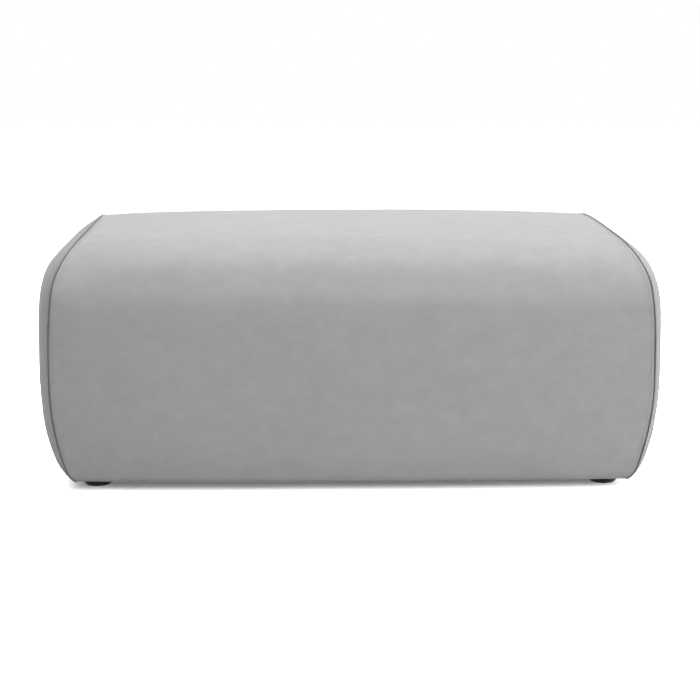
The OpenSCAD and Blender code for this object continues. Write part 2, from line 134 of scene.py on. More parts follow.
# Lengths along the plain outline: from the foot of the front to the middle of the top, to the foot of the
# back, and back along the underside
LOW_ARC = BASE_R * math.pi / 2
SIDE_LINE = SEAM_Z - TOP_R - GROUND_GAP - BASE_R
TOP_ARC = TOP_R * math.pi / 2
HALF_RUN = LOW_ARC + SIDE_LINE + TOP_ARC + HALF_D - TOP_R
FULL_RUN = 2 * HALF_RUN
UNDER_RUN = 2 * (HALF_D - BASE_R)

# Stitching beside the seams
STITCH_PITCH = 0.008
STITCH_L = 0.0056
STITCH_GAP = 0.0068
THREAD_D = 0.0009

# Points of the panels' nets: two for each stitch pitch along the seams
RUN_STEPS = 4 * round(HALF_RUN / STITCH_PITCH)
HEM_STEPS = 9
COVER_COLUMNS = 77
DOME_STEPS = (128, (RUN_STEPS - 128) // 2)
WADDING_STEP = 0.012
WADDING_COLUMNS = 74
WADDING_STEPS = (48, 36)

# Cloth simulation: the cover swells out from a slightly smaller shape
CLOTH = {
    "mass": 0.3,
    "tension_stiffness": 15.0,
    "compression_stiffness": 15.0,
    "bending_stiffness": 2.0,
    "use_pressure": True,
    "uniform_pressure_force": 1.2,
}
SIM_FRAMES = 20
SIM_STEP = 0.0135
SIM_STEPS = (48, 36)
SWELL = 0.0025
SWELL_GIVE = 0.010
SWELL_START = 0.0003
SWELL_EDGE = 0.07

# Distances of the outermost rows of points from the seam: they carry the turned edge, the raised
# allowance under it and the furrow of the topstitch
EDGE_ROWS = np.array([1.3, 1.9, 2.7, 3.8, 4.9, 5.8, 6.3, 6.8, 7.3, 7.9, 8.9, 10.4, 12.6, 15.8, 20.0]) / 1000
TOPSTITCH_ROW = 7
EDGE_DIP = 0.0007
EDGE_DIP_W = 0.0010
ALLOWANCE_RISE = 0.00045
ALLOWANCE_FADE = 0.004
FURROW_DEPTH = 0.0003
FURROW_W = 0.0011
STITCH_PULL = 0.2
PUCKER_FADE = 0.02

# Uneven surfaces: depth, size and seed of their noise, and the height over which it fades in at the base
WAVES = 24
PUCKER = (0.00022, 0.022, 8)
HOLLOWS = ((0.00035, 0.13, 4), (0.00012, 0.045, 5))
FOAM_RELIEF = [(0.0001, 0.03, 20), (0.0001, 0.03, 21), (0.0001, 0.03, 22)]
FELT_RAGGED = (0.0004, 0.012, 31)
FELT_RELIEF = (0.0001, 0.05, 32)
DUST_CREASE = (0.0006, 0.05, 51)
BASE_EASE = 0.012
HEM_EASE = 0.001

# Rows of the flaps that the end pieces turn under the base, by distance from their edge
COVER_FLAP = (0.001, 0.003, 0.009, 0.018, 0.027, 0.036, HEM_W)
WADDING_FLAP = (0.0006, 0.0035, 0.008, 0.0125, 0.0165)

# Wadding: rows beside the seam, and how the seam pulls it down
WADDING_ROWS = np.array([2.0, 3.0, 4.5, 6.5, 9.0, 12.0, 16.0, 20.0]) / 1000
WADDING_DIP = 0.0013
WADDING_DIP_W = (0.006, 0.018)
WADDING_PINCH = 0.0012
WADDING_PINCH_W = 0.0025

# Foam and felt
FOAM_VOXEL = 0.008
FOAM_SMOOTHING = 2
FOAM_EASE = 0.0008
FELT_POINTS = (121, 71)
FELT_TRIM = 0.0006
FELT_EDGE_POW = 60
FELT_EASE = 0.0003
FELT_LEAST = 0.0001

# Webbing: straps on each side of the middle one, their weave and their rounded selvedges
LONG_SIDE = 1
CROSS_SIDE = 3
WEB_RISE = 0.0021
STRAP_RAMP = 0.024
STRAP_STEP = 0.005
STRAP_CORNERS = 24
STRAP_WIDE_POW = 0.35
STRAP_THICK_POW = 0.5

# Staples
STAPLE_CROWN = 0.010
STAPLE_WIRE = 0.0009
STAPLE_FLAT = 0.7
STAPLE_CORNERS = 8
STAPLE_BEND = 0.0008
STAPLE_BEND_POINTS = 5
STAPLE_LEG = 0.0015
STAPLE_LIFT = 0.0002
STAPLE_PITCH = 0.040
STAPLE_INSET = 0.005
STAPLE_SHIFT = 0.003
STAPLE_INSET_SHIFT = 0.0008
STAPLE_TURN = 0.2
STAPLE_FROM_FOOT = 0.009
STAPLE_FROM_CORNER = 0.012
WEB_STAPLES = (-0.016, 0.0, 0.016)
WEB_STAPLE_INSET = 0.012
WEB_STAPLE_SHIFT = 0.002
WEB_STAPLE_TURN = 0.15

# Dust cover, with a net that is closer near the edges. Each form grows between two distances from the
# edge, and between two from a glide's rim
DUST_POINTS = (190, 116)
DUST_CLOSER = 1.15
DUST_CLOTH_T = 0.0004
DUST_LIP = 0.0002
DUST_FOLD = 0.014
DUST_FOLD_GROWS = (0.013, 0.015), (0, 0.02)
DUST_SAG = 0.003
DUST_SAG_GROWS = (DUST_FOLD, 0.16), (0.004, 0.08)
DUST_CREASE_GROWS = (DUST_FOLD, 0.04), (0.004, 0.03)
DUST_SLACK = 0.0007
DUST_SLACK_W = 0.01

# Cords and stitches
CORD_STRANDS = 3
CORD_TWIST = 0.009
CORD_TURN_STEPS = 10
STRAND_PRESS = 1.06
THREAD_CORNERS = 6
THREAD_TAPER = np.array([0.55, 0.9, 1, 1, 1, 0.9, 0.55])
THREAD_LIFT = (0.55, 1.1)
THREAD_DIVE_POW = 4

# Floor, and how it is lifted to white: at a distance from the object, sooner past its ends
FLOOR_HALF = 12.0
FLOOR_GREY = (0.71, 0.73)
FLOOR_WHITE = 3.0
FLOOR_GLOW = 0.125
FLOOR_FADE = 0.30
FLOOR_LIFT_X = 0.485
FLOOR_LIFT_MID = 0.015
FLOOR_LIFT_FAST = 6.0

# Lights: place, size and power. They point at LIGHT_AIM.
LIGHTS = {
    "top_light": ((0.0, 0.0, 2.6), (2.4, 2.0), 65.0),
    "top_front_light": ((0.0, -1.5, 2.3), (2.4, 1.2), 12.0),
    "front_right_light": ((2.4, -2.6, 1.5), (1.8, 1.8), 46.0),
    "front_left_light": ((-2.4, -2.6, 1.5), (1.8, 1.8), 11.0),
    "right_light": ((2.8, 0.0, 0.9), (1.6, 1.4), 15.0),
    "back_light": ((-0.6, 3.2, 1.4), (2.4, 1.6), 18.0),
}
LIGHT_AIM = (0.0, 0.0, 0.2)
WORLD_LIGHT = 0.03

# Camera, fitted to the outline and seams in the photograph
CAMERA_AIM = (-0.0451, 0.0, 0.2029)
CAMERA_DISTANCE = 3.381
CAMERA_ELEVATION = math.radians(9.884)
CAMERA_YAW = math.radians(1.321)
CAMERA_LENS = 92.77
CAMERA_SENSOR = 36
CAMERA_SHIFT = (0.0400, -0.0096)

END_NAMES = {-1: "left", 1: "right"}
UP = (0.0, 0.0, 1.0)
TINY = 1e-6


# Shape of the body

def outline(run):
    """Places at lengths along the plain outline: y, z and the inward normal. Below zero the outline runs
    back along the underside."""
    behind = run > HALF_RUN
    near = np.where(behind, FULL_RUN - run, run)
    low = np.clip(near / BASE_R, 0, math.pi / 2)
    high = np.clip((near - LOW_ARC - SIDE_LINE) / TOP_R, 0, math.pi / 2)
    side = np.clip(near - LOW_ARC, 0, SIDE_LINE)
    flat = np.maximum(near - LOW_ARC - SIDE_LINE - TOP_ARC, 0) - np.minimum(near, 0)
    y = BASE_R * (1 - np.sin(low)) + TOP_R * (1 - np.cos(high)) + flat - HALF_D
    z = GROUND_GAP + BASE_R * (1 - np.cos(low)) + side + TOP_R * np.sin(high)
    in_y = np.sin(low) * np.cos(high)
    in_z = np.cos(low) - np.sin(high)
    turn = np.where(behind, -1, 1)
    return np.stack([y * turn, z, in_y * turn, in_z], axis=-1)


def from_foot_of_face(run):
    """Lengths along the outline from its nearer end."""
    return np.minimum(run, FULL_RUN - run)


def height_share(place):
    return np.clip((place[..., 1] - GROUND_GAP) / SEAM_H, 0, 1)


def upper_share(place):
    return np.maximum(0, 2 * height_share(place) - 1)


def over_top(place):
    return np.maximum(0, 1 - (place[..., 0] / HALF_D) ** 2)


def seam_x(place):
    h = height_share(place)
    draw = BASE_DRAW * np.maximum(0, 1 - h / WAIST) ** BASE_POW
    lean = LEAN_IN * np.maximum(0, (h - WAIST) / (1 - WAIST)) ** LEAN_POW
    fill = SHOULDER_FILL * bell(h - SHOULDER_AT, SHOULDER_W)
    corner = CORNER_DRAW * np.maximum(0, 1 - h / CORNER_H) ** 2
    return SEAM_HALF - draw - corner - lean + fill - TOP_BOW * over_top(place) * h**BOW_POW


def seam_point(place, depth=0.0):
    """The right seam's points for places on the outline, at a depth below the outer face."""
    y, z, in_y, in_z = np.moveaxis(place, -1, 0)
    swell = BELLY * (1 - ((height_share(place) - WAIST) / (1 - WAIST)) ** 2)
    lift = SEAT_CROWN * over_top(place) * upper_share(place)
    x = seam_x(place) - depth
    return np.stack([x, y + depth * in_y + swell * y / HALF_D, z + depth * in_z + lift], axis=-1)


def wrap_point(place, across, depth=0.0):
    """The wrap panel's points: across runs from -1 at the left seam to 1 at the right one."""
    seam = seam_point(place, depth)
    swell = 1 - np.abs(across) ** CROWN_POW
    y = seam[..., 1] + FACE_CROWN * swell * place[..., 0] / HALF_D
    z = seam[..., 2] + TOP_CROWN * swell * upper_share(place)
    return np.stack(np.broadcast_arrays(across * seam[..., 0], y, z), axis=-1)


def dome_ray(place):
    """How a dome narrows from the seam to its middle, on the ray of each place."""
    seam = seam_point(place)
    rise = seam[..., 2] - DOME_Z
    reach = np.hypot(seam[..., 1], rise)
    wide = np.abs(seam[..., 1]) / reach / (HALF_D + BELLY)
    tall = np.abs(rise) / reach / (SEAM_Z + SEAT_CROWN - DOME_Z)
    narrow = (wide**DOME_SQUARE + tall**DOME_SQUARE) ** (-1 / DOME_SQUARE) / reach
    return np.minimum(1, narrow), DOME_POW * np.exp(-DOME_FALL * rise / reach), reach


def dome_point(place, share, depth=0.0):
    """The right dome's points: share runs from 0 at its middle to 1 at the seam."""
    seam = seam_point(place, depth)
    narrow, power, _ = dome_ray(place)
    blend = share**DOME_BLEND
    scale = share * (blend + (1 - blend) * narrow)
    z = DOME_Z + (seam[..., 2] - DOME_Z) * scale
    full = BASE_FULL * (1 - share**BASE_FULL_POW) * bell(z - GROUND_GAP, BASE_FULL_H)
    x = HALF_L - depth - (HALF_L - seam_x(place)) * share**power + full
    return np.stack([x, seam[..., 1] * scale, z], axis=-1)


def rim_share(place, gap):
    """The share at which a dome is a given distance short of the seam."""
    narrow, power, reach = dome_ray(place)
    return 1 - gap / np.hypot(power * (HALF_L - seam_x(place)), reach * (1 + DOME_BLEND * (1 - narrow)))


# Meshes

def adjusted(target, **settings):
    """A node, modifier or other thing with its settings made."""
    for name, value in settings.items():
        setattr(target, name, value)
    return target


def new_object(name, data):
    made = bpy.data.objects.new(name, data)
    scene.collection.objects.link(made)
    return made


def new_mesh(name, points, faces):
    mesh = bpy.data.meshes.new(name)
    points = np.asarray(points, float).reshape(-1, 3).tolist()
    mesh.from_pydata(points, [], [list(map(int, face)) for face in faces])
    return mesh


def settled(thing):
    """A thing with its modifiers applied."""
    return thing.evaluated_get(bpy.context.evaluated_depsgraph_get())


def square_net(rows, columns):
    """A net's two coordinates from -1 to 1."""
    return np.meshgrid(np.linspace(-1, 1, rows), np.linspace(-1, 1, columns), indexing="ij")


def smooth_step(value, start, end):
    t = np.clip((value - start) / (end - start), 0, 1)
    return t * t * (3 - 2 * t)


def bell(value, width):
    return np.exp(-((value / width) ** 2))


def signed_power(value, power):
    return np.sign(value) * np.abs(value) ** power


def unit(vectors):
    """The vectors' directions, with length 1."""
    return vectors / np.maximum(np.linalg.norm(vectors, axis=-1, keepdims=True), 1e-12)


def relief(points, depth, size, seed):
    """Smooth noise of about a depth: many plane waves of about one size, in fixed random directions."""
    draw = np.random.default_rng(seed)
    way = unit(draw.normal(size=(WAVES, 3)))
    rate = 2 * math.pi / (size * draw.uniform(0.7, 1.5, WAVES))
    phase = draw.uniform(0, 2 * math.pi, WAVES)
    total = np.zeros(points.shape[:-1])
    for k in range(WAVES):
        total += np.sin(points @ (way[k] * rate[k]) + phase[k])
    return depth * (total / math.sqrt(WAVES))


def grid_faces(rows, columns):
    """Quads between rows x columns points."""
    corner = (np.arange(rows - 1)[:, None] * columns + np.arange(columns - 1)).ravel()
    return np.stack([corner, corner + 1, corner + columns + 1, corner + columns], axis=1)


def ring_faces(inner, outer):
    """Quads between two closed rings of numbered points."""
    return np.stack([inner, np.roll(inner, -1), np.roll(outer, -1), outer], axis=1)


def grid_border(rows, columns):
    """A grid's outermost points in order, all the way round."""
    index = np.arange(rows * columns).reshape(rows, columns)
    return np.concatenate([index[0, :-1], index[:-1, -1], index[-1, :0:-1], index[:0:-1, 0]])


def grid_normals(grid):
    """Unit normals of a grid of points, pointing to the side that its quads face."""
    down, across = np.gradient(grid, axis=(0, 1))
    return unit(np.cross(across, down))


def mesh_normals(points, faces):
    """Unit normals of a mesh's points."""
    a, b, c, d = (points[faces[:, k]] for k in range(4))
    face_normal = np.cross(c - a, d - b)
    total = np.zeros_like(points)
    for k in range(4):
        np.add.at(total, faces[:, k], face_normal)
    return unit(total)


def sampled(grid, row, column):
    """Smoothly interpolated values of a grid at fractional rows and columns."""
    def neighbours(place, last):
        first = np.clip(np.floor(place).astype(int), 0, last - 1)
        t = place - first
        shares = (t * (t * (2 - t) - 1), t * t * (3 * t - 5) + 2, t * (t * (4 - 3 * t) + 1), t * t * (t - 1))
        return [(np.clip(first + k - 1, 0, last), share / 2) for k, share in enumerate(shares)]

    total = 0
    for i, row_share in neighbours(row, grid.shape[0] - 1):
        for j, column_share in neighbours(column, grid.shape[1] - 1):
            total = total + grid[i, j] * row_share * column_share
    return total


def path_sides(path, up):
    """Two unit directions across a path at each point: the one nearest to up and the one beside it."""
    along = unit(np.gradient(path, axis=0))
    out = unit(up - (up * along).sum(1, keepdims=True) * along)
    return out, np.cross(along, out)


def loft(path, section, up):
    """Points and faces of a closed form along a path. The section's first coordinate points up."""
    out, third = path_sides(path, up)
    section = np.broadcast_to(section, (len(path), *np.shape(section)[-2:]))
    ring = section[..., :1] * out[:, None] + section[..., 1:] * third[:, None]
    rows, sides = ring.shape[:2]
    start = (np.arange(rows - 1)[:, None] * sides + np.arange(sides)).ravel()
    turned = (np.arange(rows - 1)[:, None] * sides + (np.arange(sides) + 1) % sides).ravel()
    quads = np.stack([start, turned, turned + sides, start + sides], axis=1).tolist()
    caps = [list(range(sides))[::-1], list(range((rows - 1) * sides, rows * sides))]
    return (path[:, None] + ring).reshape(-1, 3), quads + caps


def thread(path, radius, up):
    """Points and faces of a round thread along a path, closed at both ends."""
    angle = np.arange(THREAD_CORNERS) * 2 * math.pi / THREAD_CORNERS
    circle = np.stack([np.cos(angle), np.sin(angle)], axis=1)
    radius = np.broadcast_to(np.asarray(radius, float), len(path))
    return loft(path, radius[:, None, None] * circle, up)


def joined(parts):
    """One list of points and faces from many."""
    points, faces, first = [], [], 0
    for part_points, part_faces in parts:
        points.append(part_points)
        faces += [[first + i for i in face] for face in part_faces]
        first += len(part_points)
    return np.concatenate(points), faces


def new_piece(name, points, faces, material, slot, node=None, thickness=0.0):
    """A smooth piece that may stand for a CAD node. A sheet gets its thickness inwards."""
    mesh = new_mesh(name, points, faces)
    mesh.validate()
    mesh.materials.append(material)
    mesh.shade_smooth()
    piece = new_object(name, mesh)
    if thickness:
        adjusted(piece.modifiers.new("thickness", "SOLIDIFY"), thickness=thickness, offset=-1)
    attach(piece, "root")
    if node:
        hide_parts(node)
    return piece


def start_depth(edge_distance):
    """How far inside its final shape the cloth starts, at a distance from its edge."""
    return SWELL_START * smooth_step(edge_distance, 0, SWELL_EDGE)


def swollen(points, normals, depth, faces, held):
    """How far air pressure moves a panel's points outwards from a depth below them, where they aren't
    held. The padding resists, so no point moves further than SWELL."""
    start = points - normals * depth[:, None]
    mesh = new_mesh("swelling", start, faces)
    panel = new_object("swelling", mesh)
    panel.vertex_groups.new(name="held").add(np.flatnonzero(held).tolist(), 1.0, "REPLACE")
    cloth = adjusted(panel.modifiers.new("cloth", "CLOTH").settings, vertex_group_mass="held", **CLOTH)
    cloth.effector_weights.gravity = 0.0
    for k in range(1, SIM_FRAMES + 1):
        scene.frame_set(k)
    moved = np.empty(3 * len(start))
    settled(panel).data.vertices.foreach_get("co", moved)
    bpy.data.objects.remove(panel)
    bpy.data.meshes.remove(mesh)
    scene.frame_set(1)
    out = ((moved.reshape(-1, 3) - start) * normals).sum(axis=1)
    return SWELL * out / (np.abs(out) + SWELL_GIVE)


# Cover panels

def seam_relief(gap, run, points):
    """How far the cloth stands out at a distance from a seam and a length along it."""
    dip = -EDGE_DIP * bell(gap - EDGE_ROWS[0], EDGE_DIP_W)
    band = ALLOWANCE_RISE * (1 - smooth_step(gap, STITCH_GAP, STITCH_GAP + ALLOWANCE_FADE))
    pull = 1 - STITCH_PULL - STITCH_PULL * np.cos(2 * math.pi * run / STITCH_PITCH)
    furrow = -FURROW_DEPTH * pull * bell(gap - STITCH_GAP, FURROW_W)
    return dip + band + furrow + relief(points, *PUCKER) * np.exp(-gap / PUCKER_FADE)


def wadding_relief(gap, *_):
    """How far the seam pulls the wadding down beside it."""
    dip = WADDING_DIP * (1 - smooth_step(gap, *WADDING_DIP_W))
    return -dip - WADDING_PINCH * np.exp(-gap / WADDING_PINCH_W)


def hollows(points):
    """Slight hollows and swells of a stuffed surface."""
    return sum(relief(points, *one) for one in HOLLOWS)


def across_places(rows, columns):
    """Distances from the left seam to the right one: rows beside each seam, and even columns between."""
    inner = np.linspace(rows[-1], 2 * SEAM_HALF - rows[-1], columns)
    return np.concatenate([rows[:-1], inner, 2 * SEAM_HALF - rows[:-1][::-1]])


def wrap_grid(runs, distances, depth):
    """The wrap panel's points for lengths along the outline and distances from the left seam, with their
    distances from the nearer seam and their places across."""
    place = outline(runs)[:, None, :]
    half = seam_x(place)
    near_edge = np.minimum(distances, 2 * SEAM_HALF - distances)[None, :]
    side = np.where(distances < SEAM_HALF, -1, 1)[None, :]
    edge = EDGE_ROWS[-1]
    near_share = 1 - near_edge / half
    inner_share = (1 - edge / half) * (1 - (near_edge - edge) / (SEAM_HALF - edge))
    across = side * np.where(near_edge <= edge, near_share, inner_share)
    return wrap_point(place, across, depth), near_edge + 0 * half, across


def wrap_swelling():
    """How the wrap panel swells from its smaller shape, on a coarse grid."""
    runs = np.linspace(0, FULL_RUN, round(FULL_RUN / SIM_STEP))
    across = np.linspace(-1, 1, round(2 * SEAM_HALF / SIM_STEP))
    points = wrap_point(outline(runs)[:, None, :], across)
    edge = np.minimum(from_foot_of_face(runs)[:, None], SEAM_HALF * (1 - np.abs(across)))
    normals = grid_normals(points).reshape(-1, 3)
    faces = grid_faces(len(runs), len(across))
    out = swollen(points.reshape(-1, 3), normals, start_depth(edge).ravel(), faces, (edge < TINY).ravel())
    return out.reshape(points.shape[:2])


def wrap_fullness(runs, across, swelling):
    """How far the wrap panel stands out from its plain shape."""
    from_foot = np.maximum(0, from_foot_of_face(runs))
    from_seam = SEAM_HALF * (1 - np.abs(across))
    depth = start_depth(np.minimum(from_foot, from_seam))
    row = np.clip(runs / FULL_RUN, 0, 1) * (swelling.shape[0] - 1) + 0 * across
    column = (across + 1) / 2 * (swelling.shape[1] - 1)
    t = (from_foot - TURN_AT) / TURN_W
    turn = TURN_FILL * math.sqrt(2 * math.e) * t * np.exp(-(t**2)) * smooth_step(from_seam, 0, TURN_FADE)
    on_face = smooth_step(from_foot, 0, FACE_FOOT) * (1 - smooth_step(from_foot, *FACE_FADE))
    face = FACE_FILL * (1 - np.exp(-from_seam / FACE_FILL_W)) * on_face
    return sampled(swelling, row, column) - depth + turn + face


def make_wrap_cover(swelling, material):
    hem = np.linspace(-HEM_W, 0, HEM_STEPS + 1)[:-1]
    runs = np.concatenate([hem, np.linspace(0, FULL_RUN, RUN_STEPS + 1), FULL_RUN - hem[::-1]])
    points, gap, across = wrap_grid(runs, across_places(EDGE_ROWS, COVER_COLUMNS), 0.0)
    normal = grid_normals(points)
    out = seam_relief(gap, runs[:, None], points) + hollows(points)
    out += wrap_fullness(runs[:, None], across, swelling)
    above = smooth_step(from_foot_of_face(runs), -HEM_EASE, BASE_EASE)[:, None]
    points = points + normal * (out * above)[..., None]
    faces = grid_faces(*points.shape[:2])
    piece = new_piece("wrap_panel", points, faces, material, "cover_fabric", "wrap_cover", COVER_T)
    return piece, points, normal, runs


def make_wrap_wadding(swelling, material):
    """Polyester wadding between the wrap panel and the foam."""
    runs = np.linspace(0, FULL_RUN, 2 * round(HALF_RUN / WADDING_STEP) + 1)
    points, gap, across = wrap_grid(runs, across_places(WADDING_ROWS, WADDING_COLUMNS), BATTING_IN)
    out = wadding_relief(gap) + hollows(points) + wrap_fullness(runs[:, None], across, swelling)
    points = points + grid_normals(points) * out[..., None]
    faces = grid_faces(*points.shape[:2])
    return new_piece("wrap_wadding", points, faces, material, "batting", "wrap_batting", WADDING_T)


def run_on_square(a, b, across_steps, up_steps):
    """The length along the outline for each place on the square that maps a dome."""
    step = FULL_RUN / (2 * up_steps + across_steps)
    share = np.maximum(np.maximum(np.abs(a), np.abs(b)), TINY)
    front_or_back = np.abs(a) >= np.abs(b)
    tests = [front_or_back & (a < 0), front_or_back & (a > 0), ~front_or_back & (b > 0), ~front_or_back]
    runs = [
        (b / share + 1) / 2 * up_steps * step,
        (up_steps + across_steps + (1 - b / share) / 2 * up_steps) * step,
        (up_steps + (a / share + 1) / 2 * across_steps) * step,
        -(a / share + 1) / 2 * UNDER_RUN,
    ]
    return np.select(tests, runs)


def dome_grid(depth, steps, gaps):
    """The right dome as a square net in the middle and a ring of points for each gap: its points, faces,
    distances from the seam, lengths along it, places on the square, and its last ring."""
    a, b = square_net(steps[0] + 1, steps[1] + 1)
    share = np.maximum(np.abs(a), np.abs(b))
    run = run_on_square(a, b, *steps)
    place = outline(run)
    rim = rim_share(place, gaps[0])
    square = np.stack([a, b], axis=-1)
    _, _, reach = dome_ray(place)
    net = dome_point(place, share * rim, depth).reshape(-1, 3)
    faces = grid_faces(*a.shape)[:, [0, 3, 2, 1]]
    squares = (square * (rim / rim_share(place, gaps[-1]))[..., None]).reshape(-1, 2)
    parts = [(net, faces, (gaps[0] + (1 - share) * reach).ravel(), run.ravel(), squares)]

    ring = grid_border(*a.shape)
    run = run.ravel()[ring]
    place = outline(run)
    square = square.reshape(-1, 2)[ring]
    full = rim_share(place, gaps[-1])
    under = smooth_step(-run, 0, BASE_EASE) * (run < 0) * smooth_step(run + UNDER_RUN, 0, BASE_EASE)
    for k, gap in enumerate(gaps[1:]):
        share = rim_share(place, gap - gaps[-1] * under)
        before, ring = ring, a.size + k * len(ring) + np.arange(len(ring))
        squares = square * np.minimum(1, share / full)[:, None]
        gap = np.full(len(ring), gap)
        parts.append((dome_point(place, share, depth), ring_faces(before, ring), gap, run, squares))
    return *(np.concatenate(one) for one in zip(*parts)), ring


def dome_swelling():
    """How the right dome swells from its smaller shape, on a coarse net."""
    points, faces, gap, *_ = dome_grid(0.0, SIM_STEPS, EDGE_ROWS[:1])
    held = np.ones([count + 1 for count in SIM_STEPS], bool)
    held[1:-1, 1:-1] = False
    out = swollen(points, mesh_normals(points, faces), start_depth(gap - EDGE_ROWS[0]), faces, held.ravel())
    return out.reshape(held.shape)


def dome_fullness(gap, square, swelling):
    """How far a dome stands out from its plain shape."""
    place = (square + 1) / 2 * SIM_STEPS
    depth = start_depth(np.maximum(0, gap - EDGE_ROWS[0]))
    return sampled(swelling, place[:, 0], place[:, 1]) - depth


def turned_under(points, faces, rim, run, half_width, insets):
    """The mesh of a right dome with a flap along its base, as far as half_width to the front and back."""
    folded = rim[(run[rim] < 0) & (np.abs(points[rim, 1]) <= half_width)]
    folded = folded[np.argsort(points[folded, 1])]
    fold = points[folded] * [1, 1, 0] + [0, 0, points[folded, 2].mean()]
    flap = [fold - [inset, 0, 0] for inset in insets]
    added = len(points) + np.arange(len(insets) * len(folded)).reshape(len(insets), -1)
    rows = np.concatenate([[folded], added])
    strips = np.stack([rows[:-1, 1:], rows[:-1, :-1], rows[1:, :-1], rows[1:, 1:]], axis=-1).reshape(-1, 4)
    return np.concatenate([points, *flap]), np.concatenate([faces, strips])


def end_form(side, net, relief_at, swelling, flap):
    """Points and faces of an end piece, with normals, distances from the seam and lengths along it. side
    is 1 for the right end and -1 for the left."""
    points, faces, gap, run, square, rim = dome_grid(*net)
    normal = mesh_normals(points, faces)
    mirror = np.array([side, 1, 1])
    above = smooth_step(points[:, 2] - GROUND_GAP, 0, BASE_EASE)
    out = (relief_at(gap, run, points * mirror) + hollows(points * mirror)) * above
    out += dome_fullness(gap, square, swelling)
    points, faces = turned_under(points + normal * out[:, None], faces, rim, run, *flap)
    return points * mirror, faces[:, ::side], normal * mirror, gap, run


def make_end_cover(side, swelling, material):
    name = END_NAMES[side] + "_end_"
    net = (0.0, DOME_STEPS, EDGE_ROWS[::-1])
    flap = (HALF_D - BASE_R - HEM_W - HEM_GAP, COVER_FLAP)
    points, faces, *rest = end_form(side, net, seam_relief, swelling, flap)
    piece = new_piece(name + "panel", points, faces, material, "cover_fabric", name + "cover", COVER_T)
    return piece, points, *rest


def make_end_wadding(side, swelling, material):
    name = END_NAMES[side] + "_end_"
    net = (BATTING_IN, WADDING_STEPS, WADDING_ROWS[::-1])
    flap = (HALF_D - BASE_R - HEM_GAP, WADDING_FLAP)
    points, faces, *_ = end_form(side, net, wadding_relief, swelling, flap)
    return new_piece(name + "wadding", points, faces, material, "batting", name + "batting", WADDING_T)


# Foam, felt, webbing, dust cover and staples

def make_foam_block(node_name, piece_name, material):
    """A foam block cut to its solid, with worn corners and slightly uneven faces."""
    block = new_object("foam_cut", frame["nodes"][node_name].data.copy())
    adjusted(block.modifiers.new("remesh", "REMESH"), mode="VOXEL", voxel_size=FOAM_VOXEL)
    adjusted(block.modifiers.new("smooth", "SMOOTH"), iterations=FOAM_SMOOTHING)
    adjusted(block.modifiers.new("ease", "DISPLACE"), mid_level=0.0, strength=-FOAM_EASE)
    mesh = bpy.data.meshes.new_from_object(settled(block))
    bpy.data.objects.remove(block)
    points = np.empty(3 * len(mesh.vertices))
    mesh.vertices.foreach_get("co", points)
    points = points.reshape(-1, 3)
    faces = [list(polygon.vertices) for polygon in mesh.polygons]
    bpy.data.meshes.remove(mesh)
    points = points + np.stack([relief(points, *one) for one in FOAM_RELIEF], axis=1)
    piece = new_piece(piece_name, points, faces, material, "foam", node_name)
    return piece


def make_felt(material):
    """The felt between the webbing and the seat foam, with slightly ragged edges."""
    low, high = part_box("webbing_felt")
    x, y = square_net(*FELT_POINTS)
    points = np.stack([x * high.x, y * high.y, 0 * x + high.z], axis=-1)
    ragged = np.maximum(FELT_TRIM + relief(points, *FELT_RAGGED), 0)
    edge = np.maximum(np.abs(x), np.abs(y)) ** FELT_EDGE_POW
    points[..., 0] -= x * edge * ragged
    points[..., 1] -= y * edge * ragged
    points[..., 2] -= np.maximum(FELT_EASE + relief(points, *FELT_RELIEF), FELT_LEAST)
    thickness = high.z - low.z - 2 * FELT_EASE
    return new_piece("felt_pad", points, grid_faces(*x.shape), material, "felt", "webbing_felt", thickness)


def strap_places():
    """Where straps run: the y of each lengthwise one and the x of each crosswise one."""
    reaches = (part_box("lengthwise_webbing")[1].y, LONG_SIDE), (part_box("crosswise_webbing")[1].x, CROSS_SIDE)
    return [
        [k * (reach - STRAP_W / 2) / count for k in range(-count, count + 1)]
        for reach, count in reaches
    ]


def strap(reach, crossed, turn, along, sideways):
    """A woven strap that passes over every second one of those crossed, the odd ones for an odd turn.
    along is its axis, 0 or 1, and sideways its distance from the middle."""
    distance = np.linspace(-reach, reach, round(2 * reach / STRAP_STEP) + 1)
    rise = np.zeros_like(distance)
    for place in crossed[turn % 2 :: 2]:
        clear = np.abs(distance - place) - STRAP_W / 2 - HEM_GAP
        rise = np.maximum(rise, 1 - smooth_step(clear, 0, STRAP_RAMP))
    path = np.zeros((len(distance), 3))
    path[:, along] = distance
    path[:, 1 - along] = sideways
    path[:, 2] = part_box("lengthwise_webbing")[0].z + STRAP_T / 2 + WEB_RISE * rise
    angle = (np.arange(STRAP_CORNERS) + 0.5) * 2 * math.pi / STRAP_CORNERS
    wide = signed_power(np.cos(angle), STRAP_WIDE_POW)
    thick = signed_power(np.sin(angle), STRAP_THICK_POW)
    section = np.stack([thick * STRAP_T / 2, wide * STRAP_W / 2], axis=1)
    return loft(path, section, UP)


def make_webbing(material):
    long_places, cross_places = strap_places()
    pieces = []
    for along, name, places, crossed in (
        (0, "lengthwise", long_places, cross_places),
        (1, "crosswise", cross_places, long_places),
    ):
        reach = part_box(name + "_webbing")[1][along]
        straps = [strap(reach, crossed, k + 1 - along, along, place) for k, place in enumerate(places)]
        pieces.append(new_piece(name + "_straps", *joined(straps), material, "webbing", name + "_webbing"))
    return pieces


def askew(draw, most):
    return draw.uniform(-most, most)


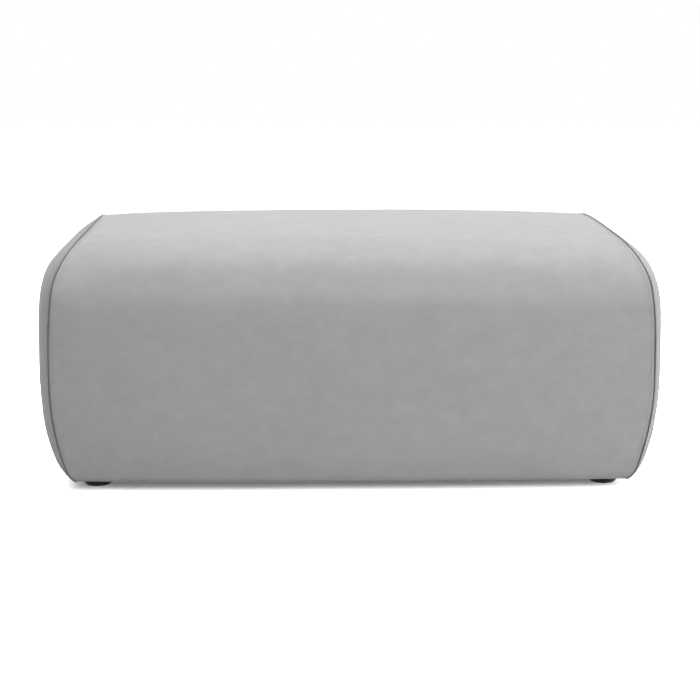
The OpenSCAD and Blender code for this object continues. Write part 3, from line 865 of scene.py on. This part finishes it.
def staple(place, angle, up):
    """A driven staple, whose crown lies on the cloth. up is 1 where the crown faces up, or else -1."""
    bend = np.linspace(0, math.pi / 2, STAPLE_BEND_POINTS)
    side = np.concatenate([[0.0], STAPLE_BEND * (1 - np.cos(bend))]) - STAPLE_CROWN / 2
    down = np.concatenate([[-STAPLE_LEG - STAPLE_BEND], STAPLE_BEND * (np.sin(bend) - 1)])
    side = np.concatenate([side, -side[::-1]])
    down = np.concatenate([down, down[::-1]])
    cross = np.array([math.cos(angle), math.sin(angle), 0.0])
    path = np.asarray(place) + side[:, None] * cross + np.outer(down * up, UP)
    corner = (np.arange(STAPLE_CORNERS) + 0.5) * 2 * math.pi / STAPLE_CORNERS
    section = np.stack([np.sin(corner), np.cos(corner) * STAPLE_FLAT], axis=1) * STAPLE_WIRE / 2
    return loft(path, section, np.array([-math.sin(angle), math.cos(angle), 0.0]))


def make_webbing_staples(material):
    """Staples through each end of each strap."""
    draw = np.random.default_rng(40)
    long_places, cross_places = strap_places()
    low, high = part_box("lengthwise_webbing")
    ends = [(end * high.x, place, 0) for place in long_places for end in (-1, 1)]
    ends += [(place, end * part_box("crosswise_webbing")[1].y, 1) for place in cross_places for end in (-1, 1)]
    parts = []
    for x, y, along in ends:
        for offset in WEB_STAPLES:
            place = [x, y, low.z + STRAP_T + STAPLE_LIFT]
            place[along] -= math.copysign(WEB_STAPLE_INSET + askew(draw, WEB_STAPLE_SHIFT), place[along])
            place[1 - along] += offset
            parts.append(staple(place, (1 - along) * math.pi / 2 + askew(draw, WEB_STAPLE_TURN), 1))
    new_piece("webbing_staples", *joined(parts), material, "screw_steel")


def from_glide(x, y):
    """Distances of places under the base from the rim of the nearest glide."""
    low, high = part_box("front_left_foot")
    x = np.abs(x) + (low.x + high.x) / 2
    y = np.abs(y) + (low.y + high.y) / 2
    return np.hypot(x, y) - (high.x - low.x) / 2


def make_dust_cover(material):
    """Black cloth under the base, with its edges folded in, drawn up at each staple and sagging."""
    low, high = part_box("dust_cover")
    x, y = square_net(*DUST_POINTS)
    x, y = (np.sign(v) * (1 - (1 - np.abs(v)) ** DUST_CLOSER) for v in (x, y))
    flat = np.stack([x * high.x, y * high.y, 0 * x + low.z + DUST_CLOTH_T], axis=-1)
    edge = np.minimum(high.x - np.abs(flat[..., 0]), high.y - np.abs(flat[..., 1]))
    glide = from_glide(flat[..., 0], flat[..., 1])
    ridge, sag, crease = (
        smooth_step(edge, *by_edge) * smooth_step(glide, *by_glide)
        for by_edge, by_glide in (DUST_FOLD_GROWS, DUST_SAG_GROWS, DUST_CREASE_GROWS)
    )
    flat[..., 2] += DUST_CLOTH_T * ridge - DUST_SAG * sag - crease * np.abs(relief(flat, *DUST_CREASE))
    before = grid_border(*x.shape)
    faces = [grid_faces(*x.shape)]
    points = [flat.reshape(-1, 3)]
    first = x.size
    outer = points[0][before]
    lift = DUST_CLOTH_T - DUST_LIP
    for inset, rise in ((-DUST_LIP, 0.0), (0.0, lift), (DUST_FOLD / 2, lift), (DUST_FOLD, lift)):
        ring = outer * [1 - inset / high.x, 1 - inset / high.y, 1]
        ring[:, 2] += rise
        points.append(ring)
        now = first + np.arange(len(before))
        faces.append(ring_faces(before, now))
        before, first = now, first + len(before)
    points = np.concatenate(points)
    from_end, from_side = high.x - np.abs(points[:, 0]), high.y - np.abs(points[:, 1])
    along = np.where(from_end < from_side, points[:, 1], points[:, 0])
    slack = DUST_SLACK * (0.5 - 0.5 * np.cos(2 * math.pi * along / STAPLE_PITCH))
    slack *= np.exp(-np.maximum(np.minimum(from_end, from_side), 0) / DUST_SLACK_W)
    points[:, :2] *= 1 - slack[:, None] / [high.x, high.y]
    faces = np.concatenate(faces)
    thickness = DUST_CLOTH_T / 2
    return new_piece("dust_cloth_sheet", points, faces, material, "dust_cloth", "dust_cover", thickness)


def make_dust_staples(material):
    """Staples along the edge of the dust cover, each a little askew."""
    draw = np.random.default_rng(60)
    low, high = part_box("dust_cover")
    parts = []
    for along, half, other in ((0, high.x, high.y), (1, high.y, high.x)):
        count = int(half / STAPLE_PITCH)
        for k in range(-count, count + 1):
            for side in (-1, 1):
                place = [0.0, 0.0, low.z - STAPLE_LIFT]
                place[along] = k * STAPLE_PITCH + askew(draw, STAPLE_SHIFT)
                place[1 - along] = side * (other - STAPLE_INSET + askew(draw, STAPLE_INSET_SHIFT))
                on_cloth = abs(place[along]) < half - STAPLE_FROM_CORNER
                if on_cloth and from_glide(*place[:2]) > STAPLE_FROM_FOOT:
                    parts.append(staple(place, along * math.pi / 2 + askew(draw, STAPLE_TURN), -1))
    new_piece("dust_cover_staples", *joined(parts), material, "screw_steel")


# Cords and stitches

def make_seam_cord(side, material):
    """A three-strand cord in the seam between the wrap panel and an end panel."""
    name = END_NAMES[side]
    steps = round(FULL_RUN / CORD_TWIST * CORD_TURN_STEPS)
    place = outline(np.linspace(0, FULL_RUN, steps + 1))
    path = seam_point(place) * [side, 1, 1]
    length = np.concatenate([[0], np.cumsum(np.linalg.norm(np.diff(path, axis=0), axis=1))])
    out, third = path_sides(path, np.stack([np.zeros(len(path)), -place[:, 2], -place[:, 3]], axis=1))
    strand_r = CORD_D / 2 / (1 + 2 / math.sqrt(3))
    offset = CORD_D / 2 - strand_r
    strands = []
    for k in range(CORD_STRANDS):
        angle = side * 2 * math.pi * (length / CORD_TWIST + k / CORD_STRANDS)
        lift = np.cos(angle)[:, None] * out + np.sin(angle)[:, None] * third
        strands.append(thread(path + offset * lift, strand_r * STRAND_PRESS, lift))
    new_piece(name + "_twisted_cord", *joined(strands), material, "seam_cord", name + "_seam_cord")


def make_topstitch(name, line, normal, material):
    """Stitches along a line of points half a stitch pitch apart, which go into the cloth at both ends."""
    parts = []
    t = np.linspace(-0.5, 0.5, len(THREAD_TAPER)) * STITCH_L / (STITCH_PITCH / 2)
    dive = np.abs(np.linspace(-1, 1, len(THREAD_TAPER))) ** THREAD_DIVE_POW
    lift = THREAD_D * (THREAD_LIFT[0] - THREAD_LIFT[1] * dive)
    for i in range(1, len(line) - 1, 2):
        before, middle, after = line[i - 1], line[i], line[i + 1]
        curve = middle + np.outer(t, (after - before) / 2) + np.outer(t**2, (after + before) / 2 - middle)
        parts.append(thread(curve + np.outer(lift, normal[i]), THREAD_D / 2 * THREAD_TAPER, normal[i]))
    new_piece(name, *joined(parts), material, "cover_fabric")


# Node materials

def emptied(owner):
    """The node tree of a material or world, with no nodes left in it."""
    owner.use_nodes = True
    owner.node_tree.nodes.clear()
    return owner.node_tree


def add_node(beside, kind, inputs=None, **settings):
    """A shader node in another output's tree. Its inputs, by name or number, are values or outputs."""
    tree = beside.id_data
    made = adjusted(tree.nodes.new("ShaderNode" + kind), **settings)
    for name, value in (inputs or {}).items():
        if isinstance(value, bpy.types.NodeSocket):
            tree.links.new(value, made.inputs[name])
        else:
            made.inputs[name].default_value = value
    return made


def place_of(beside, stretch=(1, 1, 1)):
    """The piece's own coordinates in metres, scaled by stretch."""
    here = add_node(beside, "TexCoord").outputs["Object"]
    return add_node(beside, "Mapping", {"Vector": here, "Scale": stretch}).outputs[0]


def new_material(name, stretch=(1, 1, 1)):
    """A material, and in its node tree the piece's coordinates."""
    material = bpy.data.materials.new(name)
    return material, place_of(emptied(material), stretch)


def surfaced(material, colour, roughness, normal, others=None):
    """The material with a Principled shader, whose inputs are values or other nodes' outputs."""
    inputs = {"Base Color": colour, "Roughness": roughness, "Normal": normal, **(others or {})}
    shader = add_node(normal, "BsdfPrincipled", inputs).outputs[0]
    add_node(shader, "OutputMaterial", {0: shader})
    return material


def noise(place, size, detail=2.0, rough=0.5):
    """Noise from 0 to 1 with features of about one size."""
    inputs = {"Vector": place, "Scale": 1 / size, "Detail": detail, "Roughness": rough}
    return add_node(place, "TexNoise", inputs).outputs[0]


def remap(value, new_low, new_high, low=0.3, high=0.7, **settings):
    """A value taken from low and high, where most noise lies, to new_low and new_high."""
    inputs = {"Value": value, "From Min": low, "From Max": high, "To Min": new_low, "To Max": new_high}
    return add_node(value, "MapRange", inputs, **settings).outputs[0]


def calculate(operation, first, second):
    return add_node(first, "Math", {0: first, 1: second}, operation=operation).outputs[0]


def times(first, second):
    return calculate("MULTIPLY", first, second)


def mixed(share, first, second):
    """A colour between two others."""
    first, second = ((*value, 1) if isinstance(value, tuple) else value for value in (first, second))
    return add_node(share, "Mix", {0: share, 6: first, 7: second}, data_type="RGBA").outputs[2]


def bump(height, distance, strength, below=None):
    inputs = {"Height": height, "Distance": distance, "Strength": strength}
    if below is not None:
        inputs["Normal"] = below
    return add_node(height, "Bump", inputs).outputs[0]


def seen_or_mirrored(beside):
    """1 for camera, glossy and transmission rays, and 0 for the rest."""
    path = add_node(beside, "LightPath")
    first = calculate("MAXIMUM", path.outputs["Is Camera Ray"], path.outputs["Is Glossy Ray"])
    return calculate("MAXIMUM", first, path.outputs["Is Transmission Ray"])


def cover_material(grey):
    """Short-pile velour in plain grey: soft nap shading, faint crushed marks and patches, and fine pile."""
    material, place = new_material("cover_velour")
    nap = noise(place, 0.16, 3)
    crush = noise(place_of(place, (0.7, 1, 0.85)), 0.015, 4, 0.6)
    patch = noise(place_of(place, (0.7, 1, 1)), 0.034, 4, 0.6)
    pile = noise(place, 0.0011, 2, 0.7)
    tone = remap(nap, 0.985 * grey, 1.015 * grey)
    blotches = times(remap(crush, 0.95, 1.05), remap(patch, 0.965, 1.035))
    colour = times(times(tone, blotches), remap(pile, 0.92, 1.08, 0.25, 0.75))
    normal = bump(pile, 0.00035, 0.5, bump(crush, 0.0006, 0.35))
    others = {"Sheen Weight": 0.28, "Sheen Roughness": 0.45, "Specular IOR Level": 0.25}
    return surfaced(material, colour, remap(crush, 0.84, 0.94), normal, others)


def thread_material(name, grey, size):
    """Spun yarn: fine fibres, with a little sheen."""
    material, place = new_material(name)
    fibre = noise(place, size, 3, 0.7)
    colour = remap(fibre, 0.75 * grey, 1.3 * grey)
    normal = bump(fibre, 0.0002, 0.6)
    return surfaced(material, colour, remap(fibre, 0.7, 0.9), normal, {"Sheen Weight": 0.1})


def dust_cloth_material():
    """Black spun-bonded cloth: a mat of fibres with rows of small pressed dots."""
    material, place = new_material("dust_cloth_black")
    fibre = noise(place, 0.0016, 4, 0.75)
    dots = add_node(place, "TexVoronoi", {"Vector": place, "Scale": 450.0, "Randomness": 0.15})
    pressed = remap(dots.outputs["Distance"], 0, 1, 0.1, 0.35)
    normal = bump(pressed, 0.0002, 0.6, bump(fibre, 0.0003, 0.5))
    roughness = remap(pressed, 0.55, 0.85, 0, 1)
    return surfaced(material, remap(fibre, 0.012, 0.03), roughness, normal, {"Specular IOR Level": 0.3})


def wood_material(name, along, pale, dark, ring=0.011):
    """Planed timber with growth rings that run along one axis, fine grain and a few darker streaks."""
    stretch = [1.0, 1.0, 1.0]
    stretch[along] = 0.06
    material, place = new_material(name, stretch)
    sway = noise(place, 0.06, 3)
    waving = {"Vector": place, "Scale": 0.5 / ring, "Distortion": 5.0, "Detail": 3.0, "Detail Scale": 0.6}
    rings = add_node(place, "TexWave", waving, wave_type="RINGS", rings_direction="XYZ"[along])
    grain = noise(place, 0.0009, 3, 0.7)
    share = times(remap(rings.outputs["Fac"], 0.15, 1, 0, 1), remap(sway, 0.4, 1, 0.2, 0.8))
    streaks = remap(grain, 0.0, 0.35, 0.35, 0.75)
    colour = mixed(streaks, mixed(share, pale, dark), tuple(0.6 * c for c in dark))
    return surfaced(material, colour, remap(grain, 0.5, 0.72), bump(grain, 0.0003, 0.4))


def board_material():
    """Pressed hardboard: dark matted fibre with a slight mottle."""
    material, place = new_material("hardboard_brown")
    fibre = noise(place, 0.002, 5, 0.75)
    cloud = noise(place, 0.04, 3)
    colour = mixed(remap(fibre, 0, 1), (0.11, 0.055, 0.026), (0.22, 0.125, 0.062))
    colour = mixed(remap(cloud, 0, 0.4), colour, (0.15, 0.085, 0.045))
    return surfaced(material, colour, remap(fibre, 0.55, 0.8), bump(fibre, 0.0003, 0.4))


def steel_material():
    """Zinc-plated steel with fine drawn marks and a slight cloudy tint."""
    material, place = new_material("zinc_steel")
    drawn = noise(place_of(place, (1, 1, 0.1)), 0.0006, 3, 0.6)
    colour = mixed(noise(place, 0.006, 3), (0.5, 0.5, 0.47), (0.62, 0.62, 0.64))
    normal = bump(drawn, 0.0001, 0.3)
    return surfaced(material, colour, remap(drawn, 0.28, 0.45), normal, {"Metallic": 1.0})


def plastic_material():
    """Moulded black plastic: a fine spark-eroded grain and faint scuffs."""
    material, place = new_material("glide_plastic")
    grain = noise(place, 0.0007, 2, 0.6)
    scuffs = noise(place, 0.009, 5, 0.7)
    colour = remap(scuffs, 0.008, 0.016, 0.45, 0.75)
    roughness = remap(scuffs, 0.36, 0.52, 0.35, 0.7)
    normal = bump(grain, 0.00012, 0.4)
    return surfaced(material, colour, roughness, normal, {"Specular IOR Level": 0.25})


def batting_material():
    """Bonded polyester wadding: white, cloudy and fibrous."""
    material, place = new_material("batting_white")
    cloud = noise(place, 0.02, 4, 0.6)
    fibre = noise(place, 0.0015, 4, 0.8)
    colour = mixed(remap(fibre, 0, 1), (0.72, 0.71, 0.68), (0.86, 0.85, 0.83))
    normal = bump(fibre, 0.0006, 0.7, bump(cloud, 0.002, 0.5))
    return surfaced(material, colour, 0.95, normal, {"Sheen Weight": 0.3})


def foam_material():
    """Cut polyurethane foam: pale yellow with open cells."""
    material, place = new_material("foam_yellow")
    cells = add_node(place, "TexVoronoi", {"Vector": place, "Scale": 700.0}).outputs["Distance"]
    cloud = noise(place, 0.08, 2)
    # The pits of the cells are painted darker: painted shade in the open cells.
    colour = mixed(remap(cells, 0.72, 1, 0.05, 0.5), (0.45, 0.34, 0.14), (0.8, 0.68, 0.38))
    colour = mixed(remap(cloud, 0, 0.3), colour, (0.74, 0.6, 0.32))
    return surfaced(material, colour, 0.9, bump(cells, 0.0008, 0.6))


def felt_material():
    """Needled felt of mixed grey fibres."""
    material, place = new_material("felt_grey")
    fibre = noise(place, 0.0018, 5, 0.8)
    flecks = noise(place, 0.004, 2, 0.5)
    colour = mixed(remap(fibre, 0, 1), (0.13, 0.125, 0.115), (0.3, 0.29, 0.26))
    colour = mixed(remap(flecks, 0, 0.5, 0.62, 0.7), colour, (0.12, 0.16, 0.25))
    return surfaced(material, colour, 0.95, bump(fibre, 0.0008, 0.7))


def webbing_material():
    """Woven jute: over-and-under threads a few millimetres apart, with uneven slubs."""
    material, place = new_material("webbing_jute")
    waving = {"Vector": place, "Scale": 60.0, "Distortion": 0.6, "Detail Scale": 8.0}
    weave = times(*(add_node(place, "TexWave", waving, bands_direction=way).outputs["Fac"] for way in "XY"))
    slub = noise(place, 0.003, 4, 0.7)
    colour = mixed(remap(slub, 0, 1), (0.34, 0.22, 0.1), (0.56, 0.4, 0.2))
    # The gaps between the threads are painted darker: painted shade where the weave dips.
    colour = mixed(remap(weave, 0.6, 0, 0, 0.6), colour, (0.16, 0.1, 0.045))
    return surfaced(material, colour, 0.9, bump(weave, 0.0008, 0.8, bump(slub, 0.0004, 0.5)))


def floor_material():
    """A pale matt floor, lifted to white away from the object for the camera and in reflections."""
    material, place = new_material("studio_floor")
    shade = remap(noise(place, 0.5, 2), *FLOOR_GREY)
    matt = add_node(place, "BsdfDiffuse", {"Color": shade}).outputs[0]
    lifted = add_node(place, "BsdfDiffuse", {"Color": (FLOOR_WHITE, FLOOR_WHITE, FLOOR_WHITE, 1)}).outputs[0]
    for operation, other in (
        ("SUBTRACT", (FLOOR_LIFT_MID, 0, 0)),
        ("ABSOLUTE", (0, 0, 0)),
        ("SUBTRACT", (FLOOR_LIFT_X, BODY_D / 2, 0)),
        ("MULTIPLY", (FLOOR_LIFT_FAST, 1, 1)),
        ("MAXIMUM", (0, 0, 0)),
    ):
        place = add_node(place, "VectorMath", {0: place, 1: other}, operation=operation).outputs[0]
    outside = add_node(place, "VectorMath", {0: place}, operation="LENGTH").outputs["Value"]
    fade = remap(outside, FLOOR_GLOW, 1, 0, FLOOR_FADE, interpolation_type="SMOOTHSTEP")
    glow = add_node(place, "Emission", {"Color": (1, 1, 1, 1), "Strength": fade}).outputs[0]
    lifted = add_node(place, "AddShader", {0: lifted, 1: glow}).outputs[0]
    mix = add_node(place, "MixShader", {0: seen_or_mirrored(place), 1: matt, 2: lifted}).outputs[0]
    add_node(place, "OutputMaterial", {0: mix})
    return material


# The stuffing, from the inside out
batting = batting_material()
foam = foam_material()
steel = steel_material()
foam_blocks = [make_foam_block("seat_foam", "seat_foam_block", foam)]
for name in ("front", "back", "left_end", "right_end"):
    foam_blocks.append(make_foam_block(name + "_foam", name + "_foam_pad", foam))
straps = make_webbing(webbing_material())
make_webbing_staples(steel)
felt = make_felt(felt_material())

# The cover over its wadding, sewn at both ends
cover = cover_material(0.40)
# The seam cord's dark grey is partly the cord's own colour and partly painted shade: it also stands in for the
# shade in the seam's groove.
cord_yarn_and_groove_shade = thread_material("seam_cord_yarn", 0.15, 0.0008)
stitch_thread = thread_material("topstitch_thread", 0.36, 0.0006)
panel_swelling = wrap_swelling()
wadding = make_wrap_wadding(panel_swelling, batting)
wrap, wrap_points, wrap_normals, wrap_runs = make_wrap_cover(panel_swelling, cover)
sewn = (wrap_runs > -TINY) & (wrap_runs < FULL_RUN + TINY)
end_swelling = dome_swelling()
for side, name in END_NAMES.items():
    end_wadding = make_end_wadding(side, end_swelling, batting)
    end, end_points, end_normals, end_gap, end_run = make_end_cover(side, end_swelling, cover)
    make_seam_cord(side, cord_yarn_and_groove_shade)
    column = TOPSTITCH_ROW if side < 0 else -1 - TOPSTITCH_ROW
    line, normal = wrap_points[sewn, column], wrap_normals[sewn, column]
    make_topstitch(name + "_wrap_topstitch", line, normal, stitch_thread)
    ring = np.flatnonzero((np.abs(end_gap - EDGE_ROWS[TOPSTITCH_ROW]) < TINY) & (end_run >= 0))
    ring = ring[np.argsort(end_run[ring])]
    make_topstitch(name + "_end_topstitch", end_points[ring], end_normals[ring], stitch_thread)

dust_sheet = make_dust_cover(dust_cloth_material())
make_dust_staples(steel)

# Materials of the CAD nodes that stay: a frame member's grain runs along its longest side
PINE = ((0.62, 0.42, 0.2), (0.42, 0.24, 0.095))
finishes = {
    "frame_wood": [wood_material("pine_" + axis, k, *PINE) for k, axis in enumerate("xyz")],
    "dowel_wood": [wood_material("beech_dowel", 0, (0.66, 0.47, 0.27), (0.5, 0.32, 0.16), 0.004)],
    "hardboard": [board_material()],
    "screw_steel": [steel],
    "foot_plastic": [plastic_material()],
}
for part in frame["record"]["subparts"]:
    choice = finishes.get(part["material_slot"])
    if choice:
        low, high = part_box(part["node"])
        node = frame["nodes"][part["node"]]
        node.data.materials.clear()
        node.data.materials.append(choice[np.argmax(high - low) if len(choice) > 1 else 0])

# Floor, lights, world and camera
corners = [(x * FLOOR_HALF, y * FLOOR_HALF, 0) for x, y in ((-1, -1), (1, -1), (1, 1), (-1, 1))]
floor = new_object("floor", new_mesh("floor", corners, [range(4)]))
floor.data.materials.append(floor_material())
floor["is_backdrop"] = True


def add_aimed(name, data, place, way):
    """A light or camera at a place, pointing along way."""
    aimed = adjusted(new_object(name, data), location=place, rotation_mode="QUATERNION")
    aimed.rotation_quaternion = way.to_track_quat("-Z", "Y")
    return aimed


for name, (place, size, power) in LIGHTS.items():
    light = bpy.data.lights.new(name, "AREA")
    adjusted(light, shape="RECTANGLE", size=size[0], size_y=size[1], energy=power)
    add_aimed(name, light, place, Vector(LIGHT_AIM) - Vector(place))

scene.world = bpy.data.worlds.new("studio")
strength = remap(seen_or_mirrored(emptied(scene.world)), WORLD_LIGHT, 1, 0, 1)
sky = add_node(strength, "Background", {"Color": (1, 1, 1, 1), "Strength": strength}).outputs[0]
add_node(sky, "OutputWorld", {0: sky})

camera_data = bpy.data.cameras.new("camera")
adjusted(camera_data, sensor_width=CAMERA_SENSOR, lens=CAMERA_LENS)
camera_data.shift_x, camera_data.shift_y = CAMERA_SHIFT
way = Vector((
    math.sin(CAMERA_YAW) * math.cos(CAMERA_ELEVATION),
    math.cos(CAMERA_YAW) * math.cos(CAMERA_ELEVATION),
    -math.sin(CAMERA_ELEVATION),
))
scene.camera = add_aimed("camera", camera_data, Vector(CAMERA_AIM) - CAMERA_DISTANCE * way, way)
scene.view_settings.view_transform = "Standard"

# The visual model's box
low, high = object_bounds()
